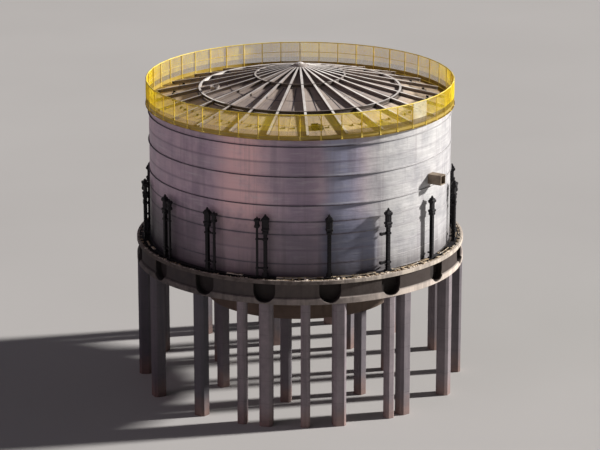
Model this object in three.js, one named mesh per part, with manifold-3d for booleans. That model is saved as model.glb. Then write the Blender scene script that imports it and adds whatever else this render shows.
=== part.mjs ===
import * as THREE from 'three';
import { mergeVertices } from 'three/addons/utils/BufferGeometryUtils.js';
import Module from 'manifold-3d';

const wasm = await Module();
wasm.setup();

// Driving dimensions in millimetres, heights above the ground
const TANK_RADIUS = 7800;
const GAP = 0.3;
const ROUND = 72;

const TABLE_RADIUS = 8520;
const RING_INNER_RADIUS = 7700;
const RING_BOTTOM = 6500;
const TABLE_TOP = 7680;
const SLAB_DEPTH = 450;
const FACE_RADIUS = 8420;
const FACE_BOTTOM = 6850;
const FACE_TOP = 7550;
const LIP_WIDTH = 140;
const LIP_HEIGHT = 60;
const NICHE_WIDTH = 1120;
const NICHE_DEPTH = 430;
const NICHE_CENTRE = 7120;

const OUTER_COLUMNS = 14;
const OUTER_COLUMN_RADIUS = 8180;
const OUTER_COLUMN_SIDE = 660;
const OUTER_COLUMN_CHAMFER = 130;
const OUTER_COLUMN_START = -63.3;
const INNER_COLUMNS = 7;
const INNER_COLUMN_RADIUS = 4600;
const INNER_COLUMN_SIDE = 560;
const INNER_COLUMN_CHAMFER = 110;
const INNER_COLUMN_START = -60.4;
const INNER_BEAM_INNER_RADIUS = 4320;
const INNER_BEAM_OUTER_RADIUS = 4880;
const INNER_BEAM_BOTTOM = 4550;
const PROP_ANGLES = [-20.5, 1.9, 33];
const PROP_RADIUS = 8240;
const PROP_SIDE = 480;
const PROP_CHAMFER = 100;

const FLOOR_RADIUS = 7860;
const FLOOR_PLATE = 14;
const SHELL_PLATE = 14;
const SHELL_TOP = 14790;
const HOOPS = [11412, 12889, 14415];
const HOOP_REACH = 60;
const HOOP_DEPTH = 36;
const CURB_RADIUS = 7985;
const CURB_PLATE = 14;
const CURB_WIDTH = 415;

const ROOF_RADIUS = 7600;
const ROOF_PLATE = 10;
const ROOF_SLOPE = 0.237;
const RAFTERS = 24;
const RAFTER_START = 2.9;
const RAFTER_DEPTH = 220;
const RAFTER_WIDTH = 100;
const RAFTER_OUTER = 7570;
const RAFTER_INNER = 600;
const LARGE_RING_RADIUS = 5175;
const SMALL_RING_RADIUS = 2310;
const RING_BAR_WIDTH = 40;
const RING_BAR_RISE = 20;
const HUB_RADIUS = 620;
const HUB_TOP = 16780;
const CAP_RADIUS = 240;
const CAP_TOP = 16843;

const RAIL_RADIUS = 7920;
const RAIL_TOP = 16100;
const RAIL_POSTS = 48;
const RAIL_POST_SIDE = 60;
const RAIL_BAR = 60;
const RAIL_MIDDLE = 15530;
const TOE_BOARD_TOP = 15020;
const TOE_BOARD_BOTTOM = 14825;
const TOE_BOARD_PLATE = 12;

const JACKS = 16;
const JACK_START = -57.2;
const JACK_RADIUS = 8112;
const JACK_RAIL_INNER = 7980;
const JACK_RAIL_OUTER = 8244;
const JACK_RAIL_HEIGHT = 110;
const JACK_POST_SIDE = 180;
const JACK_HEAD_BOTTOM = 10090;
const JACK_HEAD_TOP = 10890;
const JACK_HEAD_WIDTH = 380;
const JACK_HEAD_REACH = 300;
const JACK_TOP = 11030;
const POLE_OFFSET = 420;
const POLE_SIDE = 110;
const POLE_HEAD_SIDE = 240;
const POLE_TOP = 10880;
const POLE_SIDES = [[1, 1, -1, 0], [-1, 0, 1, 1], [-1, -1, 1, 0], [1, 0, -1, -1]];
const BARE_ARM_STATION = 4;
const ARM_HEIGHTS = [8240, 9740];
const ARM_SIDE = 90;

const BOX_ANGLE = 57.5;
const BOX_WIDTH = 480;
const BOX_REACH = 750;
const BOX_BOTTOM = 11600;
const BOX_TOP = 12100;

const HATCH_ANGLE = 7.6;
const HATCH_RADIUS = 6560;
const HATCH_WIDTH = 620;
const HATCH_LENGTH = 520;
const HATCH_HEIGHT = 150;
const COLLAR_ANGLE = -78;
const COLLAR_RADIUS = 4465;
const COLLAR_OUTER = 260;
const COLLAR_INNER = 205;
const COLLAR_HEIGHT = 260;

const radians = THREE.MathUtils.degToRad;

// Closed body helpers
function weld(geometry) {
  const bare = geometry.index ? geometry.toNonIndexed() : geometry.clone();
  bare.deleteAttribute('normal');
  bare.deleteAttribute('uv');
  return mergeVertices(bare, 0.001);
}

function toBody(geometry) {
  const welded = weld(geometry);
  const mesh = new wasm.Mesh({
    numProp: 3,
    vertProperties: new Float32Array(welded.attributes.position.array),
    triVerts: new Uint32Array(welded.index.array),
  });
  return new wasm.Manifold(mesh);
}

function toGeometry(body) {
  const mesh = body.getMesh();
  const geometry = new THREE.BufferGeometry();
  geometry.setAttribute('position', new THREE.BufferAttribute(new Float32Array(mesh.vertProperties), 3));
  geometry.setIndex(new THREE.BufferAttribute(new Uint32Array(mesh.triVerts), 1));
  return geometry;
}

function fuse(geometries) {
  return geometries.map(toBody).reduce((whole, body) => whole.add(body));
}

// Bodies of revolution about the vertical axis, profile as radius and height
function turned(profile, segments = ROUND, startAngle = 0) {
  const points = profile.map(([radius, height]) => new THREE.Vector2(radius, height));
  const geometry = new THREE.LatheGeometry(points, segments, radians(startAngle));
  geometry.rotateX(Math.PI / 2);
  return weld(geometry);
}

function ringBody(inner, outer, bottom, top, segments = ROUND, startAngle = 0) {
  return turned([[inner, bottom], [outer, bottom], [outer, top], [inner, top], [inner, bottom]], segments, startAngle);
}

// Part of a ring swept through the given angles, with closed ends
function sweptRing(profile, angles) {
  const shape = profile.map(([radius, height]) => new THREE.Vector2(radius, height));
  const caps = THREE.ShapeUtils.triangulateShape(shape, []);
  const count = profile.length;
  const positions = [];
  const indices = [];
  for (const angle of angles) {
    const sine = Math.sin(radians(angle));
    const cosine = Math.cos(radians(angle));
    for (const [radius, height] of profile) {
      positions.push(radius * sine, -radius * cosine, height);
    }
  }
  for (let station = 0; station < angles.length - 1; station += 1) {
    for (let corner = 0; corner < count; corner += 1) {
      const next = (corner + 1) % count;
      const a = station * count + corner;
      const b = station * count + next;
      const c = a + count;
      const d = b + count;
      indices.push(a, d, b, a, c, d);
    }
  }
  const last = (angles.length - 1) * count;
  for (const [a, b, c] of caps) {
    indices.push(a, b, c);
    indices.push(last + c, last + b, last + a);
  }
  const geometry = new THREE.BufferGeometry();
  geometry.setAttribute('position', new THREE.Float32BufferAttribute(positions, 3));
  geometry.setIndex(indices);
  return geometry;
}

// Box placed at an angle round the tank: width is tangential, reach is radial
function stationBox(angle, radius, width, reach, bottom, top, offset = 0) {
  const geometry = new THREE.BoxGeometry(width, reach, top - bottom);
  geometry.translate(offset, -radius, (bottom + top) / 2);
  geometry.rotateZ(radians(angle));
  return geometry;
}

// Upright shaft with chamfered edges, turned to face away from the centre
function shaft(angle, radius, side, chamfer, top) {
  const half = side / 2;
  const flat = half - chamfer;
  const outline = [
    [flat, -half], [half, -flat], [half, flat], [flat, half],
    [-flat, half], [-half, flat], [-half, -flat], [-flat, -half],
  ];
  const shape = new THREE.Shape(outline.map(([x, y]) => new THREE.Vector2(x, y)));
  const geometry = new THREE.ExtrudeGeometry(shape, { depth: top, bevelEnabled: false });
  geometry.translate(0, -radius, 0);
  geometry.rotateZ(radians(angle));
  return geometry;
}

// Roof surface
const eaveHeight = SHELL_TOP + CURB_PLATE + GAP;
const roofUnderApex = eaveHeight + ROOF_SLOPE * ROOF_RADIUS;
const roofTopApex = roofUnderApex + ROOF_PLATE;

function roofTop(radius) {
  return roofTopApex - ROOF_SLOPE * radius;
}

const roofReach = ROOF_RADIUS + 1000;
const roofClearance = toBody(turned([
  [0, eaveHeight - 1500],
  [roofReach, eaveHeight - 1500],
  [roofReach, roofTop(roofReach) + GAP],
  [0, roofTopApex + GAP],
], ROUND, RAFTER_START));

const group = new THREE.Group();
group.name = 'elevated_process_tank';

const concrete = { color: 0x8d8680, roughness: 0.92, metalness: 0 };
const steel = { color: 0xa7a3ab, roughness: 0.5, metalness: 0.55 };
const roofSteel = { color: 0x9a8580, roughness: 0.75, metalness: 0.2 };
const paleSteel = { color: 0xd5cdc8, roughness: 0.6, metalness: 0.2 };
const yellow = { color: 0xc9a91c, roughness: 0.55, metalness: 0 };
const black = { color: 0x17171b, roughness: 0.6, metalness: 0.3 };

function place(name, geometry, finish) {
  const clean = geometry.attributes.normal ? weld(geometry) : geometry;
  clean.computeVertexNormals();
  const mesh = new THREE.Mesh(clean, new THREE.MeshStandardMaterial(finish));
  mesh.name = name;
  group.add(mesh);
}

// Concrete table
const slabRadius = RING_INNER_RADIUS - GAP;
const slabBottom = TABLE_TOP - SLAB_DEPTH;
place('table_slab', turned([
  [0, slabBottom],
  [slabRadius, slabBottom],
  [slabRadius, TABLE_TOP],
  [0, TABLE_TOP],
]), concrete);
place('inner_ring_beam', ringBody(
  INNER_BEAM_INNER_RADIUS,
  INNER_BEAM_OUTER_RADIUS,
  INNER_BEAM_BOTTOM,
  slabBottom,
), concrete);

const lipInner = TABLE_RADIUS - LIP_WIDTH;
let edgeRing = toBody(turned([
  [RING_INNER_RADIUS, RING_BOTTOM],
  [TABLE_RADIUS, RING_BOTTOM],
  [TABLE_RADIUS, FACE_BOTTOM - 60],
  [FACE_RADIUS, FACE_BOTTOM],
  [FACE_RADIUS, FACE_TOP],
  [TABLE_RADIUS, FACE_TOP],
  [TABLE_RADIUS, TABLE_TOP + LIP_HEIGHT],
  [lipInner, TABLE_TOP + LIP_HEIGHT],
  [lipInner, TABLE_TOP],
  [RING_INNER_RADIUS, TABLE_TOP],
  [RING_INNER_RADIUS, RING_BOTTOM],
]));

// Round-bottomed niches in the face of the ring, one below each lifting post
function niche(angle) {
  const half = NICHE_WIDTH / 2;
  const outline = new THREE.Shape();
  outline.moveTo(half, NICHE_CENTRE);
  outline.lineTo(half, FACE_TOP);
  outline.lineTo(-half, FACE_TOP);
  outline.lineTo(-half, NICHE_CENTRE);
  outline.absarc(0, NICHE_CENTRE, half, Math.PI, Math.PI * 2, false);
  const cutter = new THREE.ExtrudeGeometry(outline, { depth: NICHE_DEPTH * 2, bevelEnabled: false, curveSegments: 10 });
  cutter.rotateX(Math.PI / 2);
  cutter.translate(0, NICHE_DEPTH - TABLE_RADIUS, 0);
  cutter.rotateZ(radians(angle));
  return toBody(cutter);
}
for (let index = 0; index < JACKS; index += 1) {
  edgeRing = edgeRing.subtract(niche(JACK_START + (360 / JACKS) * index));
}
place('edge_ring_beam', toGeometry(edgeRing), concrete);

for (let index = 0; index < OUTER_COLUMNS; index += 1) {
  const angle = OUTER_COLUMN_START + (360 / OUTER_COLUMNS) * index;
  const column = shaft(angle, OUTER_COLUMN_RADIUS, OUTER_COLUMN_SIDE, OUTER_COLUMN_CHAMFER, RING_BOTTOM);
  place(`outer_column_${String(index + 1).padStart(2, '0')}`, column, concrete);
}
for (let index = 0; index < INNER_COLUMNS; index += 1) {
  const angle = INNER_COLUMN_START + (360 / INNER_COLUMNS) * index;
  const column = shaft(angle, INNER_COLUMN_RADIUS, INNER_COLUMN_SIDE, INNER_COLUMN_CHAMFER, INNER_BEAM_BOTTOM);
  place(`inner_column_${index + 1}`, column, concrete);
}
PROP_ANGLES.forEach((angle, index) => {
  place(`prop_${index + 1}`, shaft(angle, PROP_RADIUS, PROP_SIDE, PROP_CHAMFER, RING_BOTTOM), concrete);
});

// Tank floor and shell
const shellBottom = TABLE_TOP + FLOOR_PLATE;
place('tank_floor', turned([
  [0, TABLE_TOP],
  [FLOOR_RADIUS, TABLE_TOP],
  [FLOOR_RADIUS, shellBottom],
  [0, shellBottom],
]), steel);

const shellInner = TANK_RADIUS - SHELL_PLATE;
const shellProfile = [[shellInner, shellBottom], [TANK_RADIUS, shellBottom]];
for (const height of HOOPS) {
  shellProfile.push([TANK_RADIUS, height - HOOP_DEPTH / 2]);
  shellProfile.push([TANK_RADIUS + HOOP_REACH, height - HOOP_DEPTH / 2]);
  shellProfile.push([TANK_RADIUS + HOOP_REACH, height + HOOP_DEPTH / 2]);
  shellProfile.push([TANK_RADIUS, height + HOOP_DEPTH / 2]);
}
shellProfile.push([TANK_RADIUS, SHELL_TOP], [shellInner, SHELL_TOP], [shellInner, shellBottom]);
place('tank_shell', turned(shellProfile), steel);

const curbTop = SHELL_TOP + CURB_PLATE;
place('top_curb', ringBody(CURB_RADIUS - CURB_WIDTH, CURB_RADIUS, SHELL_TOP, curbTop), yellow);

// Box on the side of the shell, cut to the curve of the plate
const shellClearance = toBody(turned([
  [0, BOX_BOTTOM - 100],
  [TANK_RADIUS + GAP, BOX_BOTTOM - 100],
  [TANK_RADIUS + GAP, BOX_TOP + 100],
  [0, BOX_TOP + 100],
]));
const boxReach = BOX_REACH + 100;
const boxCentre = TANK_RADIUS + BOX_REACH - boxReach / 2;
const sideBox = toBody(stationBox(BOX_ANGLE, boxCentre, BOX_WIDTH, boxReach, BOX_BOTTOM, BOX_TOP));
place('side_box', toGeometry(sideBox.subtract(shellClearance)), paleSteel);

// Roof plate
place('roof_plate', turned([
  [0, roofUnderApex],
  [ROOF_RADIUS, eaveHeight],
  [ROOF_RADIUS, eaveHeight + ROOF_PLATE],
  [0, roofTopApex],
], ROUND, RAFTER_START), roofSteel);

// Roof frame: rafters, two ring bars and the hub
function rafter(angle) {
  const half = RAFTER_WIDTH / 2;
  const low = -20;
  const outline = [[-half, low], [half, low], [half, RAFTER_DEPTH], [-half, RAFTER_DEPTH]];
  const shape = new THREE.Shape(outline.map(([x, y]) => new THREE.Vector2(x, y)));
  const run = RAFTER_OUTER - RAFTER_INNER;
  const bar = new THREE.ExtrudeGeometry(shape, { depth: run, bevelEnabled: false });
  bar.rotateX(Math.PI / 2);
  const fall = new THREE.Matrix4().set(
    1, 0, 0, 0,
    0, 1, 0, -RAFTER_INNER,
    0, ROOF_SLOPE, 1, roofTop(RAFTER_INNER),
    0, 0, 0, 1,
  );
  bar.applyMatrix4(fall);
  bar.rotateZ(radians(angle));
  return bar;
}

function barRing(radius) {
  const inner = radius - RING_BAR_WIDTH / 2;
  const outer = radius + RING_BAR_WIDTH / 2;
  const bottom = -20;
  const top = RAFTER_DEPTH + RING_BAR_RISE;
  return turned([
    [inner, roofTop(inner) + bottom],
    [outer, roofTop(outer) + bottom],
    [outer, roofTop(outer) + top],
    [inner, roofTop(inner) + top],
    [inner, roofTop(inner) + bottom],
  ], RAFTERS * 2, RAFTER_START);
}

const frameParts = [barRing(LARGE_RING_RADIUS), barRing(SMALL_RING_RADIUS)];
for (let index = 0; index < RAFTERS; index += 1) {
  frameParts.push(rafter(RAFTER_START + (360 / RAFTERS) * index));
}
const hubBottom = roofTop(HUB_RADIUS) - 50;
frameParts.push(turned([
  [0, hubBottom],
  [HUB_RADIUS, hubBottom],
  [HUB_RADIUS, roofTop(HUB_RADIUS) + RAFTER_DEPTH - 5],
  [CAP_RADIUS, HUB_TOP],
  [0, HUB_TOP],
], 24, RAFTER_START));
place('roof_frame', toGeometry(fuse(frameParts).subtract(roofClearance)), paleSteel);

place('roof_cap', turned([
  [0, HUB_TOP],
  [CAP_RADIUS, HUB_TOP],
  [CAP_RADIUS, HUB_TOP + 25],
  [CAP_RADIUS * 0.6, CAP_TOP],
  [0, CAP_TOP],
], 24, RAFTER_START), paleSteel);

// Roof fittings cut to the slope
const hatchTop = roofTop(HATCH_RADIUS) + HATCH_HEIGHT;
const hatchBottom = roofTop(HATCH_RADIUS) - 200;
const hatch = toBody(stationBox(HATCH_ANGLE, HATCH_RADIUS, HATCH_WIDTH, HATCH_LENGTH, hatchBottom, hatchTop));
place('roof_hatch', toGeometry(hatch.subtract(roofClearance)), black);

const collarTop = roofTop(COLLAR_RADIUS) + COLLAR_HEIGHT;
const collarBottom = roofTop(COLLAR_RADIUS) - 200;
const collar = ringBody(COLLAR_INNER, COLLAR_OUTER, collarBottom, collarTop, 24);
collar.translate(0, -COLLAR_RADIUS, 0);
collar.rotateZ(radians(COLLAR_ANGLE));
place('roof_collar', toGeometry(toBody(collar).subtract(roofClearance)), paleSteel);

// Guard rail in four quarters, each ends against the first post of the next
const postStep = 360 / RAIL_POSTS;
const postsPerQuarter = RAIL_POSTS / 4;
const endTrim = THREE.MathUtils.radToDeg((RAIL_POST_SIDE / 2 + GAP) / RAIL_RADIUS);

function barSection(radius, height, size) {
  const corners = [];
  for (let corner = 0; corner < 4; corner += 1) {
    const turn = radians(90 * corner);
    corners.push([radius + (size / 2) * Math.cos(turn), height + (size / 2) * Math.sin(turn)]);
  }
  return corners;
}

for (let quarter = 0; quarter < 4; quarter += 1) {
  const start = quarter * 90;
  const angles = [];
  const pieces = [];
  for (let post = 0; post < postsPerQuarter; post += 1) {
    const angle = start + post * postStep;
    angles.push(angle);
    pieces.push(stationBox(angle, RAIL_RADIUS, RAIL_POST_SIDE, RAIL_POST_SIDE, curbTop, RAIL_TOP - RAIL_BAR / 2));
  }
  angles.push(start + 90 - endTrim);
  pieces.push(sweptRing(barSection(RAIL_RADIUS, RAIL_TOP - RAIL_BAR / 2, RAIL_BAR), angles));
  pieces.push(sweptRing(barSection(RAIL_RADIUS, RAIL_MIDDLE, RAIL_BAR * 0.7), angles));
  const toeInner = RAIL_RADIUS - TOE_BOARD_PLATE / 2;
  const toeOuter = RAIL_RADIUS + TOE_BOARD_PLATE / 2;
  pieces.push(sweptRing([
    [toeInner, TOE_BOARD_BOTTOM],
    [toeOuter, TOE_BOARD_BOTTOM],
    [toeOuter, TOE_BOARD_TOP],
    [toeInner, TOE_BOARD_TOP],
  ], angles));
  place(`guard_rail_${quarter + 1}`, toGeometry(fuse(pieces)), yellow);
}

// Lifting gear in four quarters: a rail on the table with four posts on it
const jackStep = 360 / JACKS;
const jacksPerQuarter = JACKS / 4;
for (let quarter = 0; quarter < 4; quarter += 1) {
  const first = JACK_START + quarter * 90;
  const railStart = first - jackStep / 2;
  const angles = [];
  const steps = 18;
  const trim = THREE.MathUtils.radToDeg(GAP / 2 / JACK_RADIUS);
  for (let step = 0; step <= steps; step += 1) {
    angles.push(railStart + trim + ((90 - 2 * trim) * step) / steps);
  }
  const railTop = TABLE_TOP + JACK_RAIL_HEIGHT;
  const pieces = [sweptRing([
    [JACK_RAIL_INNER, TABLE_TOP],
    [JACK_RAIL_OUTER, TABLE_TOP],
    [JACK_RAIL_OUTER, railTop],
    [JACK_RAIL_INNER, railTop],
  ], angles)];
  const foot = railTop - 20;
  for (let index = 0; index < jacksPerQuarter; index += 1) {
    const angle = first + index * jackStep;
    const side = POLE_SIDES[quarter][index];
    const offset = POLE_OFFSET * side;
    pieces.push(stationBox(angle, JACK_RADIUS, JACK_POST_SIDE, JACK_POST_SIDE, foot, JACK_HEAD_BOTTOM + 20));
    pieces.push(stationBox(angle, JACK_RADIUS, JACK_HEAD_WIDTH, JACK_HEAD_REACH, JACK_HEAD_BOTTOM, JACK_HEAD_TOP));
    pieces.push(stationBox(angle, JACK_RADIUS, 150, 150, JACK_HEAD_TOP - 20, JACK_TOP));
    if (side === 0) {
      continue;
    }
    for (const height of ARM_HEIGHTS) {
      const bottom = height - ARM_SIDE / 2;
      const top = height + ARM_SIDE / 2;
      pieces.push(stationBox(angle, JACK_RADIUS, POLE_OFFSET, ARM_SIDE, bottom, top, offset / 2));
    }
    if (quarter * jacksPerQuarter + index !== BARE_ARM_STATION) {
      pieces.push(stationBox(angle, JACK_RADIUS, POLE_SIDE, POLE_SIDE, foot, POLE_TOP, offset));
      const low = POLE_TOP - 560;
      const high = POLE_TOP - 80;
      pieces.push(stationBox(angle, JACK_RADIUS, POLE_HEAD_SIDE, POLE_HEAD_SIDE, low, high, offset));
    }
  }
  place(`lifting_gear_${quarter + 1}`, toGeometry(fuse(pieces)), black);
}

export default group;
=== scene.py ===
"""Looks of the elevated process tank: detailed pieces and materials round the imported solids, in metres."""

import random
from math import atan, cos, degrees, pi, radians, sin

import bmesh
import bpy
from mathutils import Matrix, Vector, noise


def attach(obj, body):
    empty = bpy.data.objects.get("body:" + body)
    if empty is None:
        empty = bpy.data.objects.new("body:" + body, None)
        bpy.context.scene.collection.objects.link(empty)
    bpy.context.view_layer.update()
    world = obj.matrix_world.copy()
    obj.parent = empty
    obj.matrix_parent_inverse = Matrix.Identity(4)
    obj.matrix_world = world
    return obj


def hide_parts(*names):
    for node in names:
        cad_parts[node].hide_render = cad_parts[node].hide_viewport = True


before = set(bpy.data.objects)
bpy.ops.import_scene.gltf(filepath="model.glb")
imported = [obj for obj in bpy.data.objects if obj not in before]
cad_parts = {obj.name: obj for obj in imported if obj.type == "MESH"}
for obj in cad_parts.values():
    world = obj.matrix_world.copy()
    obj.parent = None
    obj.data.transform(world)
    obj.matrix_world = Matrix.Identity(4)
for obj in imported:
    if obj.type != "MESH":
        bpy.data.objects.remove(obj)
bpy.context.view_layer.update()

# Sizes shared with the solids: heights above the ground, radii from the axis of the tank, angles in degrees
TANK_RADIUS = 7.8
PLATE = 0.014
TABLE_RADIUS = 8.52
TABLE_TOP = 7.68
SLAB_DEPTH = 0.45
RING_INNER = 7.7
RING_BOTTOM = 6.5
FACE_RADIUS = 8.42
FACE_BOTTOM = 6.85
FACE_TOP = 7.55
LIP_WIDTH = 0.14
LIP_TOP = TABLE_TOP + 0.06
NICHE_WIDTH = 1.12
NICHE_DEPTH = 0.43
NICHE_CENTRE = 7.12
BEAM_INNER = 4.32
BEAM_OUTER = 4.88
BEAM_BOTTOM = 4.55
OUTER_COLUMNS = 14
OUTER_COLUMN_START = -63.3
OUTER_COLUMN = {"radius": 8.18, "side": 0.66, "cut": 0.13, "top": RING_BOTTOM}
INNER_COLUMNS = 7
INNER_COLUMN_START = -60.4
INNER_COLUMN = {"radius": 4.6, "side": 0.56, "cut": 0.11, "top": BEAM_BOTTOM}
PROP_ANGLES = (-20.5, 1.9, 33)
PROP = {"radius": 8.24, "side": 0.48, "cut": 0.1, "top": RING_BOTTOM}
SHELL_BOTTOM = TABLE_TOP + PLATE
SHELL_TOP = 14.79
CURB_TOP = SHELL_TOP + PLATE
HOOPS = (11.412, 12.889, 14.415)
HOOP_REACH = 0.06
ROOF_RADIUS = 7.6
ROOF_SLOPE = 0.237
ROOF_APEX = CURB_TOP + 0.0103 + ROOF_SLOPE * ROOF_RADIUS
RAFTERS = 24
RAFTER_START = 2.9
RAFTER_TURN = 360 / RAFTERS
RAFTER_END = 7.57
LARGE_RING = 5.175
SMALL_RING = 2.31
HUB_TOP = 16.78
CAP_RADIUS = 0.24
CAP_TOP = 16.843
HATCH_ANGLE = 7.6
HATCH_RADIUS = 6.56
COLLAR_ANGLE = -78
COLLAR_RADIUS = 4.465
RAIL_RADIUS = 7.92
RAIL_TOP = 16.07
RAIL_MIDDLE = 15.53
RAIL_POSTS = 48
BAY_TURN = 360 / RAIL_POSTS
TOE_TOP = 15.02
TOE_BOTTOM = 14.825
JACKS = 16
JACK_START = -57.2
JACK_TURN = 360 / JACKS
JACK_RADIUS = 8.112
JACK_RAIL_INNER = 7.98
JACK_RAIL_OUTER = 8.244
JACK_RAIL_TOP = TABLE_TOP + 0.11
ARM_HEIGHTS = (8.24, 9.74)
BARE_ARM_STATION = 4
POLE_OFFSET = 0.42
POLE_SIDES = (1, 1, -1, 0, -1, 0, 1, 1, -1, -1, 1, 0, 1, 0, -1, -1)
BOX_ANGLE = 57.5
BOX_BOTTOM = 11.6
BOX_TOP = 12.1
BOX_INNER = 7.795
BOX_OUTER = 8.55

# Sizes of the scene alone
STRONG_SEAMS = (8.407, 9.917, 10.582)
WEAK_SEAMS = (9.114, 12.057, 13.619)
PLATES_ROUND = 8
PLATE_TURN = 360 / PLATES_ROUND
RAFTER_DEPTH = 0.165
HUB_RADIUS = 0.43
NET_RADIUS = RAIL_RADIUS + 0.036
PALE_BAY = 6


def polar(angle, radius, height=0):
    turn = radians(angle)
    return Vector((radius * sin(turn), -radius * cos(turn), height))


def station(angle, radius=0, height=0, offset=0):
    """Local frame round the tank: X runs to the right seen from outside, -Y outwards, Z up."""
    return Matrix.Rotation(radians(angle), 4, "Z") @ Matrix.Translation((offset, -radius, height))


def roof_top(radius):
    return ROOF_APEX - ROOF_SLOPE * radius


def on_roof(angle, radius, lift=0):
    return polar(angle, radius, roof_top(radius) + lift)


class Body:
    """Closed forms that are gathered into one piece, each face with a tone for its material."""

    def __init__(self):
        self.points = []
        self.faces = []
        self.tones = []

    def loft(self, loops, ring=False, tone=0.5):
        """Skin over the loops. Its tone is one number, or a function of the row and the face in it."""
        base = len(self.points)
        count = len(loops[0])
        for loop in loops:
            self.points.extend(tuple(point) for point in loop)
        for row in range(len(loops) if ring else len(loops) - 1):
            near = base + row * count
            far = base + (row + 1) % len(loops) * count
            for k in range(count):
                after = (k + 1) % count
                self.faces.append((near + k, near + after, far + after, far + k))
                self.tones.append(tone(row, k) if callable(tone) else tone)
        if not ring:
            last = base + (len(loops) - 1) * count
            self.faces.append(tuple(base + k for k in reversed(range(count))))
            self.faces.append(tuple(last + k for k in range(count)))
            self.tones.extend((0.5, 0.5))

    def block(self, where, size, centre=(0, 0, 0), chamfer=0.006, tone=0.5):
        half = [side / 2 for side in size]
        cut = min(chamfer, min(half) * 0.45)

        def outline(inset, height):
            u, v = half[0] - inset, half[1] - inset
            c = cut * (1 if inset == 0 else 0.4)
            right = ((u - c, -v), (u, c - v), (u, v - c), (u - c, v))
            flat = right + tuple((-x, -y) for x, y in right)
            return [where @ Vector((centre[0] + x, centre[1] + y, centre[2] + height)) for x, y in flat]

        z = half[2]
        levels = ((cut, -z), (0, cut - z), (0, z - cut), (cut, z))
        self.loft([outline(inset, height) for inset, height in levels], tone=tone)

    def bar(self, start, end, outline, stages=((0, 1), (1, 1)), up=(0, 0, 1), tone=0.5):
        """Outline carried from start to end. A stage is a share of the way and the width there."""
        side = (end - start).cross(Vector(up)).normalized()
        rise = side.cross((end - start).normalized())
        self.loft([[start.lerp(end, share) + side * u * width + rise * v for u, v in outline]
                   for share, width in stages], tone=tone)

    def tube(self, where, start, end, radius, sides=12):
        start, end = where @ Vector(start), where @ Vector(end)
        self.bar(start, end, circle(radius, sides), up=(end - start).orthogonal())

    def swept(self, profile, angles, ring=False, tone=0.5):
        loops = [[polar(angle, radius, height) for radius, height in profile] for angle in angles]
        self.loft(loops, ring, tone)

    def ring(self, profile, steps, start=0, tone=0.5):
        self.swept(profile, [start + 360 * k / steps for k in range(steps)], ring=True, tone=tone)


def circle(radius, sides):
    return [(radius * cos(2 * pi * k / sides), radius * sin(2 * pi * k / sides)) for k in range(sides)]


def rectangle(width, low, high):
    return [(-width / 2, low), (width / 2, low), (width / 2, high), (-width / 2, high)]


def octagon(half, cut, ease):
    """Square with cut corners, the corners of the cut a little eased."""
    flat = half - cut
    right = ((flat, -half), (half, -flat), (half, flat), (flat, half))
    corners = [Vector((x * side, y * side)) for side in (1, -1) for x, y in right]
    outline = []
    for before, corner, after in zip(corners[-1:] + corners[:-1], corners, corners[1:] + corners[:1]):
        outline += [corner + (side - corner).normalized() * ease for side in (before, after)]
    return outline


def beam_section(width, depth, flange, web):
    w, t = width / 2, web / 2
    first = [(-w, 0), (w, 0), (w, flange), (t, flange), (t, depth - flange), (w, depth - flange)]
    return first + [(-x, depth - y) for x, y in first]


def add_object(name, data):
    made = bpy.data.objects.new(name, data)
    bpy.context.scene.collection.objects.link(made)
    return made


def closed_mesh(name, body):
    mesh = bpy.data.meshes.new(name)
    mesh.from_pydata(body.points, [], body.faces)
    face_outwards(mesh)
    return mesh


def face_outwards(mesh):
    work = bmesh.new()
    work.from_mesh(mesh)
    bmesh.ops.recalc_face_normals(work, faces=work.faces)
    work.to_mesh(mesh)
    work.free()


def show(name, form, material, replaces=(), crease=35):
    """Makes the piece of a Body or a mesh, lets it ride along and hides the solids it stands for."""
    mesh = form
    if isinstance(form, Body):
        mesh = closed_mesh(name, form)
        tones = mesh.attributes.new("tone", "FLOAT", "FACE")
        tones.data.foreach_set("value", form.tones)
    mesh.polygons.foreach_set("use_smooth", [True] * len(mesh.polygons))
    mesh.set_sharp_from_angle(angle=radians(crease))
    mesh.materials.clear()
    mesh.materials.append(material)
    made = add_object(name, mesh)
    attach(made, "root")
    if replaces:
        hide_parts(*replaces)


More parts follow.
